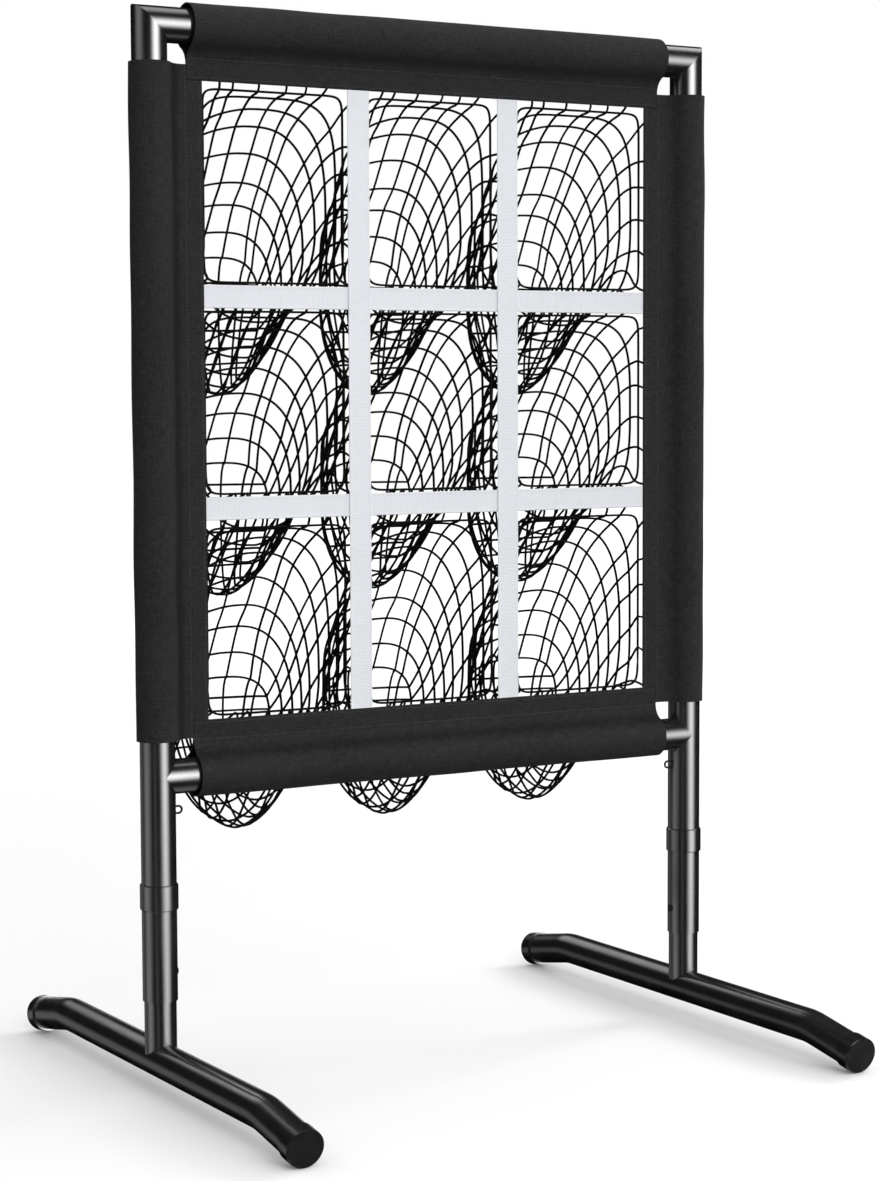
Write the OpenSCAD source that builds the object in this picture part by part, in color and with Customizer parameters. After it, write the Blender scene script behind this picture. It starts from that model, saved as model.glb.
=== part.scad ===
// Pitching target net: nine net pockets in a knock-down steel tube frame that stands on two feet.
// Millimetres. X runs across the frame, -Y is the thrower's side, +Z is up.
// The origin is on the floor, midway between the two legs.

/* [Frame] */
// Outside diameter of the frame tube
tube_d = 38.1; // [34:0.1:42]
// Wall of the frame tube and of the posts
tube_wall = 1.5; // [1:0.1:2.5]
// Distance between the uprights, axis to axis
frame_w = 695; // [640:5:760]
// Distance between the two crossbars, axis to axis
frame_h = 800; // [740:5:880]
// Height of the bottom crossbar's axis above the floor
bar_z = 344; // [320:1:400]
// Reach of each stub from the upright's axis
stub_len = 68; // [60:1:90]
// Length of a crossbar's swaged end inside its stub
swage_len = 40; // [25:1:44]

/* [Legs] */
// Height of the butt joint between upright and leg tube
butt_z = 215; // [195:1:235]
// Length of the leg tube
leg_tube_len = 113; // [90:1:130]
// Reach of the post inside the upright, above the butt joint
post_reach = 90; // [60:1:95]
// Radial clearance of a tube that slips inside another
slip_gap = 0.1; // [0.05:0.01:0.15]
// Height of the collar over the butt joint
collar_h = 28; // [20:1:36]
// Wall of the collar
collar_wall = 1.65; // [1.2:0.05:2.5]
// Chamfer at both ends of the collar
collar_chamfer = 1; // [0.4:0.1:1.1]

/* [Feet] */
// Length of the level middle of the foot, between the bend points
foot_flat = 497; // [420:1:560]
// Length from the bend point to the outer face of the end cap
foot_end = 88; // [70:1:110]
// Angle by which the ends of the foot are bent down
foot_angle = 10.5; // [7:0.5:14]
// Radius of the foot's bends, at the tube's axis
bend_r = 110; // [80:5:160]
// Length of an end cap
cap_len = 18; // [12:1:26]
// Wall of an end cap round the tube
cap_wall = 1.7; // [1.2:0.1:2.5]
// Thickness of an end cap's face
cap_face = 2.6; // [1.5:0.1:4]
// Chamfer round an end cap's face
cap_chamfer = 0.8; // [0.4:0.1:1.5]
// Depth of the flat that an end cap rests on
cap_rest = 0.4; // [0.3:0.1:0.8]

/* [Snap buttons] */
// Height of the button's axis above the floor
button_z = 132; // [118:1:150]
// Diameter of the button
button_d = 8.6; // [7:0.1:10]
// Radial clearance of the button in its holes
button_gap = 0.2; // [0.1:0.05:0.3]
// How far the button stands out of the leg tube
button_proud = 2.2; // [1.5:0.1:3]
// Width of the clip spring's strip
clip_w = 9; // [7:0.5:10]
// Thickness of the clip spring's strip
clip_t = 0.8; // [0.6:0.1:1]
// Length of the clip spring
clip_len = 52; // [44:1:64]

/* [Tie eyes] */
// Height of the eyes above the floor
eye_z = 307.5; // [290:0.5:312]
// Wire diameter of the eyes
eye_wire = 2.4; // [2:0.1:2.5]
// Outside height of an eye
eye_h = 10; // [10:0.1:14]
// How far an eye stands out of the upright
eye_reach = 10; // [9:0.1:16]

/* [Fabric] */
// Outside diameter of the sleeves round the tubes
sleeve_d = 49.2; // [46:0.1:54]
// Gap between a tube and its sleeve
sleeve_gap = 0.3; // [0.2:0.1:0.6]
// Thickness of the flat double band
band_t = 3; // [2:0.5:4]
// Width of the side bands, from the upright's axis
side_band = 61; // [50:0.5:75]
// Width of the top band, from the crossbar's axis
top_band = 56.5; // [50:0.5:75]
// Width of the bottom band, from the crossbar's axis
bottom_band = 59; // [50:0.5:75]
// Distance from a crossbar's axis to the end of a side sleeve
side_sleeve_inset = 40; // [36:0.5:48]
// Distance from an upright's axis to the end of a bar sleeve
bar_sleeve_inset = 42.5; // [42:0.5:56]
// Distance from a tube's axis at which the sleeve's two sides meet
sleeve_join = 37; // [34:0.5:40]

/* [Straps] */
// Width of the upright straps
strap_w = 27.5; // [20:0.5:34]
// Width of the level straps
level_strap_w = 25; // [20:0.5:32]
// Thickness of the straps
strap_t = 1.6; // [1:0.1:2]
// Distance between the upright straps, axis to axis
strap_pitch = 194; // [180:1:210]
// Distance between the level straps, axis to axis
level_strap_pitch = 228.4; // [215:0.2:240]

/* [Net pockets] */
// Depth of the pockets behind the frame
pocket_depth = 162; // [140:1:190]
// How far the upper pockets hang below the bottom of their openings
pocket_drop = 124; // [90:1:130]
// How far the bottom pockets hang below the bottom of their openings
low_pocket_drop = 142; // [120:1:170]
// How far a pocket's mouth laps behind the straps and bands
pocket_lap = 4; // [2:0.5:7]
// Thickness of the net's bars
net_t = 1.8; // [1.2:0.1:2.5]
// Width of the net's bars
net_bar = 4; // [2.5:0.5:6]
// Clearance between a pocket's roof and the pocket that hangs over it
pocket_gap = 8; // [5:1:16]

/* [Hidden] */

$fn = 64;
// Small overlap that makes a cut run through
cut = 1;
// Gap left at a coped and welded joint
weld_gap = 0.05;
// Gap between a net and the cloth it is sewn to
sewn_gap = 0.3;

tube_r = tube_d / 2;
bore_r = tube_r - tube_wall;
slip_r = bore_r - slip_gap;
slip_bore_r = slip_r - tube_wall;
leg_x = frame_w / 2;
top_z = bar_z + frame_h;
stub_end_x = leg_x - stub_len;
sleeve_r = sleeve_d / 2;

open_x = leg_x - side_band;
open_top = top_z - top_band;
open_bottom = bar_z + bottom_band;
open_mid = (open_top + open_bottom) / 2;

// Steps round each bend of the foot, and sides of its tube
bend_steps = 3;
foot_sides = 30;
cap_r = tube_r + weld_gap + cap_wall;
foot_z = (foot_end - cap_chamfer) * sin(foot_angle) + cap_r * cos(foot_angle) - cap_rest;

button_r = button_d / 2;
button_flange_r = button_r + 1.3;
button_flange_t = 1.2;
// The button's flange lies against the curved wall inside the post
button_seat = sqrt(pow(slip_bore_r, 2) - pow(button_flange_r, 2)) - 0.3;
button_dome = 1.4;

steel_black = [0.10, 0.10, 0.11];
plastic_black = [0.13, 0.13, 0.13];
bright_steel = [0.62, 0.62, 0.64];
cloth_black = [0.16, 0.16, 0.17];
webbing_white = [0.89, 0.90, 0.92];
net_black = [0.05, 0.05, 0.05];

// ---- steel frame ----

// A round tube or bar along X, centred on the origin
module along_x(r, length) {
    rotate([0, 90, 0]) cylinder(r = r, h = length, center = true);
}

// Half-space cut at 45 degrees through a left top corner; above is true for the side over the mitre
module mitre_block(above) {
    translate([-leg_x, 0, top_z]) rotate([0, 45, 0])
        translate([-tube_d * 2, -tube_d, above ? 0 : -tube_d * 3])
            cube([tube_d * 4, tube_d * 2, tube_d * 3]);
}

module left_upright_tube() {
    difference() {
        translate([-leg_x, 0, butt_z]) cylinder(r = tube_r, h = top_z + tube_d - butt_z);
        translate([-leg_x, 0, butt_z - cut]) cylinder(r = bore_r, h = top_z + tube_d * 2 - butt_z);
        mitre_block(above = true);
    }
}

module left_top_stub_tube() {
    difference() {
        translate([-leg_x - tube_d, 0, top_z]) rotate([0, 90, 0]) cylinder(r = tube_r, h = stub_len + tube_d);
        translate([-leg_x - tube_d * 2, 0, top_z]) rotate([0, 90, 0])
            cylinder(r = bore_r, h = stub_len + tube_d * 2 + cut);
        mitre_block(above = false);
    }
}

module left_tee_stub_tube() {
    difference() {
        translate([-leg_x, 0, bar_z]) rotate([0, 90, 0]) cylinder(r = tube_r, h = stub_len);
        translate([-leg_x - cut, 0, bar_z]) rotate([0, 90, 0]) cylinder(r = bore_r, h = stub_len + cut * 2);
        translate([-leg_x, 0, bar_z - tube_d]) cylinder(r = tube_r + weld_gap, h = tube_d * 2);
    }
}

// Crossbar: full-size tube between the stubs, its two ends swaged down to plug into them
module crossbar_tube(z) {
    translate([0, 0, z]) difference() {
        union() {
            along_x(tube_r, stub_end_x * 2);
            along_x(slip_r, (stub_end_x + swage_len) * 2);
        }
        along_x(bore_r, (stub_end_x - tube_wall * 2) * 2);
        along_x(slip_bore_r, (stub_end_x + swage_len + cut) * 2);
    }
}

// Ferrule fixed on the upright's end and reaching down over the leg tube
module left_collar_ring() {
    inner = tube_r + slip_gap;
    outer = inner + collar_wall;
    translate([-leg_x, 0, butt_z - collar_h / 2]) rotate_extrude($fn = 96)
        polygon([
            [inner, 0], [outer - collar_chamfer, 0], [outer, collar_chamfer],
            [outer, collar_h - collar_chamfer], [outer - collar_chamfer, collar_h], [inner, collar_h]
        ]);
}

// Bent wire loop, its two straight legs welded to the inner face of the upright
module left_tie_eye_loop() {
    wire_r = eye_wire / 2;
    loop_r = eye_h / 2 - wire_r;
    wall_x = -leg_x + tube_r + weld_gap;
    straight = eye_reach - weld_gap - wire_r - loop_r;
    translate([wall_x, 0, eye_z]) {
        for (side = [-1, 1])
            translate([0, 0, side * loop_r]) rotate([0, 90, 0]) cylinder(r = wire_r, h = straight, $fn = 32);
        translate([straight, 0, 0]) rotate([90, 0, 0]) rotate([0, 0, -90])
            rotate_extrude(angle = 180, $fn = 48) translate([loop_r, 0]) circle(r = wire_r, $fn = 32);
    }
}

// ---- fabric ----

// Section of a sleeve: round over the tube, its two sides meeting in a flat band of the given width along +X
module sleeve_section(band) {
    half = band_t / 2;
    lean = acos((sleeve_r - half) / sleeve_join);
    difference() {
        union() {
            circle(r = sleeve_r);
            polygon([
                [sleeve_r * cos(lean), sleeve_r * sin(lean)],
                [sleeve_r * cos(lean), -sleeve_r * sin(lean)],
                [sleeve_join + half * cos(lean), -half * sin(lean)],
                [sleeve_join + half * cos(lean), half * sin(lean)]
            ]);
            translate([0, -half]) square([band, band_t]);
        }
        circle(r = tube_r + sleeve_gap);
    }
}

// Side sleeve: its flat band is full width between the bar bands, and narrower beside their ends
module left_sleeve_cloth() {
    low = bar_z + side_sleeve_inset;
    high = top_z - side_sleeve_inset;
    translate([-leg_x, 0, low]) linear_extrude(height = high - low)
        sleeve_section(bar_sleeve_inset);
    translate([-leg_x + bar_sleeve_inset, -band_t / 2, open_bottom])
        cube([side_band - bar_sleeve_inset, band_t, open_top - open_bottom]);
}

// Bar sleeve, with its band hanging down from the top bar or standing up from the bottom bar
module bar_sleeve_cloth(z, band, turn) {
    length = (leg_x - bar_sleeve_inset) * 2;
    translate([-length / 2, 0, z]) rotate([90, 0, 90]) linear_extrude(height = length)
        rotate(turn) sleeve_section(band);
}

module upright_strap_web(x) {
    translate([x - strap_w / 2, -strap_t, open_bottom]) cube([strap_w, strap_t, open_top - open_bottom]);
}

module level_strap_web(z) {
    translate([-open_x, 0, z - level_strap_w / 2]) cube([open_x * 2, strap_t, level_strap_w]);
}

// ---- net pockets ----

// Edges of the three columns and the three rows of openings
col_left = [-open_x, -(strap_pitch - strap_w) / 2, (strap_pitch + strap_w) / 2];
col_right = [-(strap_pitch + strap_w) / 2, (strap_pitch - strap_w) / 2, open_x];
row_bottom = [
    open_mid + (level_strap_pitch + level_strap_w) / 2,
    open_mid - (level_strap_pitch - level_strap_w) / 2,
    open_bottom
];
row_top = [
    open_top,
    open_mid + (level_strap_pitch - level_strap_w) / 2,
    open_mid - (level_strap_pitch + level_strap_w) / 2
];

// Each profile is a list of [share of the depth, share of the drop, height or width]
hang_profile = [
    [0, 0], [0.148, 0.15], [0.26, 0.31], [0.37, 0.46], [0.48, 0.63], [0.59, 0.8],
    [0.7, 0.93], [0.83, 1], [0.91, 0.96], [0.96, 0.84], [0.98, 0.7], [1, 0.55]
];
// The bottom pockets fall straight down behind the bottom sleeve first
low_hang_profile = [
    [0.26, 0.56], [0.37, 0.725], [0.48, 0.88], [0.59, 0.97], [0.7, 1], [0.81, 0.965], [0.91, 0.84],
    [0.96, 0.69], [0.98, 0.57], [1, 0.46]
];
// Height lost by the roof of the upper two rows of pockets, and of the bottom row
roof_profile = [
    [0, 0], [0.04, 0.03], [0.148, 0.055], [0.26, 0.1], [0.37, 0.18], [0.48, 0.31], [0.59, 0.45],
    [0.7, 0.56], [0.81, 0.7], [0.92, 0.84], [0.96, 0.92], [0.98, 0.98], [1, 1.05]
];
low_roof_profile = [
    [0, 0], [0.04, 0.03], [0.148, 0.057], [0.26, 0.105], [0.37, 0.188], [0.48, 0.318], [0.59, 0.471],
    [0.7, 0.59], [0.81, 0.735], [0.92, 0.875], [0.96, 0.955], [0.98, 1.02], [1, 1.1]
];
width_profile = [
    [0, 1], [0.148, 0.98], [0.26, 0.951], [0.37, 0.91], [0.48, 0.882], [0.59, 0.87], [0.7, 0.843],
    [0.81, 0.79], [0.92, 0.713], [0.96, 0.64], [0.98, 0.56], [1, 0.45]
];
// Height of a ring's widest level, as a share of the ring's height
waist_profile = [[0, 0.5], [0.59, 0.5], [0.7, 0.53], [0.81, 0.577], [0.92, 0.61], [1, 0.64]];
// Squareness of a ring above and below its widest level: high is a rectangle, 2 an ellipse, 1 a triangle
crown_profile = [
    [0, 10], [0.04, 8], [0.148, 4], [0.26, 3], [0.37, 2.6], [0.48, 2.4], [0.59, 2.5], [0.81, 2.6],
    [0.92, 3], [1, 3]
];
keel_profile = [[0, 10], [0.1, 3], [0.26, 1.7], [0.48, 1.6], [0.58, 1.7], [0.68, 1.75], [0.79, 1.95], [1, 2.2]];
low_clear_y = sleeve_r * 1.2;

function hang_at(row, y) = row < 2
    ? -pocket_drop * lookup(y / pocket_depth, hang_profile)
    : y < low_clear_y
        ? -bottom_band * y / low_clear_y
        : -lookup(y, concat([[low_clear_y, bottom_band]],
            [for (p = low_hang_profile) [p[0] * pocket_depth, p[1] * low_pocket_drop]]));

function floor_z(row, y) = row_bottom[row] + hang_at(row, y);

function own_roof_z(row, y) = row_top[row] - (row_top[row] - row_bottom[row])
    * lookup(y / pocket_depth, row < 2 ? roof_profile : low_roof_profile);

// A lower pocket's roof keeps clear under the pocket that hangs over it
function roof_z(row, y) = row == 0
    ? own_roof_z(row, y)
    : min(own_roof_z(row, y), floor_z(row - 1, y) - pocket_gap);

// Depths of the rings, as shares of the pocket's depth
stations = [0, 0.27, 0.54, 0.81, 1];
// Directions of a ring's corners from its centre: three bars each to a side
ring_corners = [
    [1, 1 / 3], [1, 1], [1 / 3, 1], [-1 / 3, 1], [-1, 1], [-1, 1 / 3],
    [-1, -1 / 3], [-1, -1], [-1 / 3, -1], [1 / 3, -1], [1, -1], [1, -1 / 3]
];
ring_sides = len(ring_corners);

// Brings a direction onto a rounded square whose corners have the given squareness
function rounded(v, squareness) =
    v / pow(pow(abs(v[0]), squareness) + pow(abs(v[1]), squareness), 1 / squareness);

// One ring of the pocket at a share u of its depth, drawn in by inset; lap widens the mouth behind the straps
function ring(col, row, u, inset) =
    let (
        y = u * pocket_depth,
        lap = pocket_lap * max(0, 1 - u * 8),
        back = strap_t + sewn_gap - (inset > 0 ? inset * lookup(u, [[0.5, 0], [0.9, 1]]) : 0),
        half_w = (col_right[col] - col_left[col]) / 2 + lap,
        mid_x = (col_right[col] + col_left[col]) / 2,
        high = roof_z(row, y) + lap - inset,
        low = floor_z(row, y) - lap + inset,
        level = low + (high - low) * lookup(u, waist_profile),
        wide = half_w * lookup(u, width_profile) - inset
    )
    [for (v = ring_corners)
        let (r = rounded(v, lookup(u, v[1] > 0 ? crown_profile : keel_profile)))
        [mid_x + wide * r[0], y + back, level + (v[1] > 0 ? high - level : level - low) * r[1]]];

function between(a, b, t) = a + (b - a) * t;

// The four crossings inside the back of the pocket, from the corners of its last ring
function back_crossings(r) =
    [for (p = [1, 2]) for (q = [1, 2])
        let (
            left = r[4 + p], right = r[(13 - p) % 12],
            over = r[4 - q], under = r[7 + q]
        )
        (between(left, right, q / 3) + between(over, under, p / 3)) / 2];

// Meshes of the net as four crossings each: round the bag between its rings, then three by three in its back
last_ring = (len(stations) - 1) * ring_sides;
inner_back = len(stations) * ring_sides;
back_rows = [
    [last_ring + 4, last_ring + 3, last_ring + 2, last_ring + 1],
    [last_ring + 5, inner_back, inner_back + 1, last_ring],
    [last_ring + 6, inner_back + 2, inner_back + 3, last_ring + 11],
    [last_ring + 7, last_ring + 8, last_ring + 9, last_ring + 10]
];
net_meshes = concat(
    [for (k = [0 : len(stations) - 2]) for (i = [0 : ring_sides - 1])
        let (a = k * ring_sides + i, b = k * ring_sides + (i + 1) % ring_sides)
        [a, b, b + ring_sides, a + ring_sides]],
    [for (r = [0 : 2]) for (c = [0 : 2])
        [back_rows[r + 1][c + 1], back_rows[r][c + 1], back_rows[r][c], back_rows[r + 1][c]]]
);

// Corners of the hole in a mesh, half a bar's width inside its four edges
function hole_corners(points, mesh) =
    [for (e = [0 : 3])
        let (
            p = points[mesh[e]], q = points[mesh[(e + 1) % 4]],
            o = points[mesh[(e + 2) % 4]], r = points[mesh[(e + 3) % 4]],
            f = min(0.35, net_bar / 2 / norm(q - p)),
            g = min(0.35, net_bar / 2 / norm(r - p))
        )
        p + f * (q - p) + g * (r - p) + f * g * (o - q - r + p)];

function turned(faces) = [for (f = faces) [for (j = [len(f) - 1 : -1 : 0]) f[j]]];

// Two triangles for a four-sided face
function split(f) = [[f[0], f[1], f[2]], [f[0], f[2], f[3]]];

// Bag of bars with an open mouth: outer and inner skins with a hole in every mesh, and a rim round the mouth
module pocket_bag(col, row) {
    rings = [for (u = stations) ring(col, row, u, 0)];
    inner_rings = [for (u = stations) ring(col, row, u, net_t)];
    tail = len(stations) - 1;
    outer = concat([for (r = rings) each r], back_crossings(rings[tail]));
    inner = concat([for (r = inner_rings) each r], back_crossings(inner_rings[tail]));
    crossings = len(outer);
    holes = [for (mesh = net_meshes) each concat(hole_corners(outer, mesh), hole_corners(inner, mesh))];
    rim = [for (i = [0 : ring_sides - 1])
        each split([(i + 1) % ring_sides, i, i + crossings, (i + 1) % ring_sides + crossings])];
    bars = [for (j = [0 : len(net_meshes) - 1]) for (e = [0 : 3])
        let (
            n = (e + 1) % 4,
            a = net_meshes[j][e], b = net_meshes[j][n],
            hole = crossings * 2 + j * 8,
            p = hole + e, q = hole + n
        )
        each concat(
            split([a, b, q, p]),
            split([b + crossings, a + crossings, p + 4, q + 4]),
            split([p, q, q + 4, p + 4])
        )];
    polyhedron(points = concat(outer, inner, holes), faces = concat(bars, rim));
}

// ---- legs ----

// Radial hole for the snap button, on the inner side of the left leg
module left_button_hole() {
    translate([-leg_x, 0, button_z]) rotate([0, 90, 0]) cylinder(r = button_r + button_gap, h = tube_d);
}

module left_leg_tube_sleeve() {
    difference() {
        translate([-leg_x, 0, butt_z - leg_tube_len]) cylinder(r = tube_r, h = leg_tube_len);
        translate([-leg_x, 0, butt_z - leg_tube_len - cut]) cylinder(r = bore_r, h = leg_tube_len + cut * 2);
        left_button_hole();
    }
}

// Post: coped onto the foot tube below, open at the top inside the upright
module left_post_tube() {
    height = butt_z + post_reach - foot_z;
    difference() {
        translate([-leg_x, 0, foot_z]) cylinder(r = slip_r, h = height);
        translate([-leg_x, 0, foot_z - cut]) cylinder(r = slip_bore_r, h = height + cut * 2);
        translate([-leg_x, 0, foot_z]) rotate([90, 0, 0])
            cylinder(r = tube_r + weld_gap, h = tube_d * 2, center = true);
        left_button_hole();
    }
}

// Stations along the foot's axis as [y, z, downward slope]: an end, round one bend, round the other, the other end
bend_tangent = bend_r * tan(foot_angle / 2);
foot_straight = foot_flat / 2 - bend_tangent;
foot_tail = foot_end - cap_face - bend_tangent;
bend_stations = [
    for (k = [0 : bend_steps])
        let (t = foot_angle * k / bend_steps)
        [-foot_straight - bend_r * sin(t), -bend_r * (1 - cos(t)), t]
];
front_tip = bend_stations[bend_steps] - [foot_tail * cos(foot_angle), foot_tail * sin(foot_angle), 0];
front_stations = concat([front_tip], [for (k = [bend_steps : -1 : 0]) bend_stations[k]]);
foot_stations = concat(
    front_stations,
    [for (k = [bend_steps + 1 : -1 : 0]) [-front_stations[k][0], front_stations[k][1], -front_stations[k][2]]]
);

// Rings of one skin of the foot tube, square to the axis at every station
function foot_rings(r) =
    [for (p = foot_stations) for (i = [0 : foot_sides - 1])
        let (a = 360 * i / foot_sides)
        [r * cos(a), p[0] - r * sin(a) * sin(p[2]), p[1] + r * sin(a) * cos(p[2])]];

// Four-sided faces between the rings of a skin whose first point has the given index
function foot_faces(first, rings) =
    [for (k = [0 : rings - 2]) for (i = [0 : foot_sides - 1])
        let (
            a = first + k * foot_sides + i,
            b = first + k * foot_sides + (i + 1) % foot_sides
        )
        [a, b, b + foot_sides, a + foot_sides]];

module left_foot_run() {
    n = foot_sides;
    m = len(foot_stations);
    last = (m - 1) * n;
    near_end = [for (i = [0 : n - 1]) [(i + 1) % n, i, i + m * n, (i + 1) % n + m * n]];
    far_end = [for (i = [0 : n - 1])
        [last + i, last + (i + 1) % n, last + (i + 1) % n + m * n, last + i + m * n]];
    translate([-leg_x, 0, foot_z]) polyhedron(
        points = concat(foot_rings(tube_r), foot_rings(bore_r)),
        faces = concat(foot_faces(0, m), turned(foot_faces(m * n, m)), near_end, far_end)
    );
}

// End cap: a cup over the tube's end with a chamfered face, resting on a small flat
module left_front_cap_cup() {
    bore = tube_r + weld_gap;
    difference() {
        translate([-leg_x, -foot_flat / 2, foot_z]) rotate([foot_angle, 0, 0])
            translate([0, -foot_end, 0]) rotate([-90, 0, 0]) rotate_extrude($fn = 96)
                polygon([
                    [0, 0], [cap_r - cap_chamfer, 0], [cap_r, cap_chamfer], [cap_r, cap_len],
                    [bore, cap_len], [bore, cap_face], [0, cap_face]
                ]);
        translate([-leg_x - cap_r * 2, -foot_flat, -tube_d]) cube([cap_r * 4, foot_flat * 2, tube_d]);
    }
}

// Snap button: flange inside the post, shank through both walls, domed tip
module left_button_body() {
    tip = tube_r + button_proud;
    translate([-leg_x, 0, button_z]) rotate([0, 90, 0]) rotate_extrude($fn = 48)
        polygon(concat(
            [[0, button_seat - button_flange_t], [button_flange_r, button_seat - button_flange_t],
             [button_flange_r, button_seat], [button_r, button_seat]],
            [for (a = [0 : 15 : 90]) [button_r * cos(a), tip - button_dome + button_dome * sin(a)]]
        ));
}

// Clip spring: a strip bent over at the top, one leg behind the button and one on the far wall
module left_clip_strip() {
    front = button_seat - button_flange_t - 0.1;
    bend_out = 6;
    bend_in = bend_out - clip_t;
    low = button_z - clip_w;
    high = low + clip_len - bend_out;
    far = sqrt(pow(slip_bore_r, 2) - pow(clip_w / 2, 2)) - 0.3;
    mid_x = front - bend_out;
    translate([-leg_x, clip_w / 2, 0]) rotate([90, 0, 0]) linear_extrude(height = clip_w)
        polygon(concat(
            [[front, low]],
            [for (a = [0 : 15 : 180]) [mid_x + bend_out * cos(a), high + bend_out * sin(a)]],
            [[-far, low], [clip_t - far, low]],
            [for (a = [180 : -15 : 0]) [mid_x + bend_in * cos(a), high + bend_in * sin(a)]],
            [[front - clip_t, low]]
        ));
}

module right_side() {
    mirror([1, 0, 0]) children();
}

module rear_side() {
    mirror([0, 1, 0]) children();
}

// ---- nodes ----

module left_upright() { color(steel_black) left_upright_tube(); }
module right_upright() { color(steel_black) right_side() left_upright_tube(); }
module left_top_stub() { color(steel_black) left_top_stub_tube(); }
module right_top_stub() { color(steel_black) right_side() left_top_stub_tube(); }
module left_tee_stub() { color(steel_black) left_tee_stub_tube(); }
module right_tee_stub() { color(steel_black) right_side() left_tee_stub_tube(); }
module top_crossbar() { color(steel_black) crossbar_tube(top_z); }
module bottom_crossbar() { color(steel_black) crossbar_tube(bar_z); }
module left_collar() { color(steel_black) left_collar_ring(); }
module right_collar() { color(steel_black) right_side() left_collar_ring(); }
module left_tie_eye() { color(steel_black) left_tie_eye_loop(); }
module right_tie_eye() { color(steel_black) right_side() left_tie_eye_loop(); }
module left_sleeve() { color(cloth_black) left_sleeve_cloth(); }
module right_sleeve() { color(cloth_black) right_side() left_sleeve_cloth(); }
module top_sleeve() { color(cloth_black) bar_sleeve_cloth(top_z, top_band, -90); }
module bottom_sleeve() { color(cloth_black) bar_sleeve_cloth(bar_z, bottom_band, 90); }
module left_strap() { color(webbing_white) upright_strap_web(-strap_pitch / 2); }
module right_strap() { color(webbing_white) upright_strap_web(strap_pitch / 2); }
module upper_strap() { color(webbing_white) level_strap_web(open_mid + level_strap_pitch / 2); }
module lower_strap() { color(webbing_white) level_strap_web(open_mid - level_strap_pitch / 2); }
module net_pocket(col, row) { color(net_black) pocket_bag(col, row); }
module left_leg_tube() { color(steel_black) left_leg_tube_sleeve(); }
module right_leg_tube() { color(steel_black) right_side() left_leg_tube_sleeve(); }
module left_post() { color(steel_black) left_post_tube(); }
module right_post() { color(steel_black) right_side() left_post_tube(); }
module left_foot_tube() { color(steel_black) left_foot_run(); }
module right_foot_tube() { color(steel_black) right_side() left_foot_run(); }
module left_front_cap() { color(plastic_black) left_front_cap_cup(); }
module left_rear_cap() { color(plastic_black) rear_side() left_front_cap_cup(); }
module right_front_cap() { color(plastic_black) right_side() left_front_cap_cup(); }
module right_rear_cap() { color(plastic_black) right_side() rear_side() left_front_cap_cup(); }
module left_clip_spring() { color(bright_steel) left_clip_strip(); }
module right_clip_spring() { color(bright_steel) right_side() left_clip_strip(); }
module left_snap_button() { color(bright_steel) left_button_body(); }
module right_snap_button() { color(bright_steel) right_side() left_button_body(); }

left_upright();
right_upright();
left_top_stub();
right_top_stub();
left_tee_stub();
right_tee_stub();
top_crossbar();
bottom_crossbar();
left_collar();
right_collar();
left_tie_eye();
right_tie_eye();
left_sleeve();
right_sleeve();
top_sleeve();
bottom_sleeve();
left_strap();
right_strap();
upper_strap();
lower_strap();
net_pocket(0, 0);  // pocket_top_left
net_pocket(1, 0);  // pocket_top_middle
net_pocket(2, 0);  // pocket_top_right
net_pocket(0, 1);  // pocket_middle_left
net_pocket(1, 1);  // pocket_middle
net_pocket(2, 1);  // pocket_middle_right
net_pocket(0, 2);  // pocket_bottom_left
net_pocket(1, 2);  // pocket_bottom_middle
net_pocket(2, 2);  // pocket_bottom_right
left_leg_tube();
left_post();
left_foot_tube();
left_front_cap();
left_rear_cap();
left_clip_spring();
left_snap_button();
right_leg_tube();
right_post();
right_foot_tube();
right_front_cap();
right_rear_cap();
right_clip_spring();
right_snap_button();
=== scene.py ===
"""Pitching target net: puts finishes, cloth, webbing and nets on the packed frame, on a stage."""
import math
import random

import bmesh
import bpy
from mathutils import Matrix, Vector


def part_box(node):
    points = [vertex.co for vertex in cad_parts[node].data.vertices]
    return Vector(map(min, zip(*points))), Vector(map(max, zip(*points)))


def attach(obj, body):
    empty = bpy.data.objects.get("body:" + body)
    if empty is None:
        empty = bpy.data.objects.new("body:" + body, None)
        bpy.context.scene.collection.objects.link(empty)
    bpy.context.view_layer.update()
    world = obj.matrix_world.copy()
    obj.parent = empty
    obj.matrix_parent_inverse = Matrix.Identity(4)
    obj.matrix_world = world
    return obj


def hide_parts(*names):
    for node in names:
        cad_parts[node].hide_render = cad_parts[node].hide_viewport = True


bl_info = {
    "name": "Pitching Target Net",
    "version": (1, 0, 0),
    "blender": (4, 5, 0),
    "location": "View3D > Sidebar > Target Net",
    "description": "Makes the finishes, sleeves, straps, nets and stage of a nine-pocket pitching target",
    "category": "Object",
}

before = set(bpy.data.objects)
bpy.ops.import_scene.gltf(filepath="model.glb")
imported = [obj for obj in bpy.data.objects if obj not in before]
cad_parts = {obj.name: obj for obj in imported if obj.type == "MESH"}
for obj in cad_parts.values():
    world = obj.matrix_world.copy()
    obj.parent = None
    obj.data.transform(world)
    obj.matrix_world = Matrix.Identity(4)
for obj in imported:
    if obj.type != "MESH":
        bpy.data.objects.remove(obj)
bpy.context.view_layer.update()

BODY = "upper_frame"
SIDES = {"left": -1, "right": 1}


def node_box(name):
    low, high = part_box(name)
    return Vector(low), Vector(high)


def centre_of(name):
    low, high = node_box(name)
    return (low + high) / 2


LEG_X = centre_of("right_leg_tube").x
TOP_Z = centre_of("top_crossbar").z
BAR_Z = centre_of("bottom_crossbar").z


# ---- sizes and colours ----

def length_property(name, description, default):
    return bpy.props.FloatProperty(name=name, description=description, default=default,
                                   unit="LENGTH", subtype="DISTANCE")


def colour_property(name, description, default):
    return bpy.props.FloatVectorProperty(name=name, description=description, size=3,
                                         default=default, subtype="COLOR", min=0, max=1)


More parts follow.
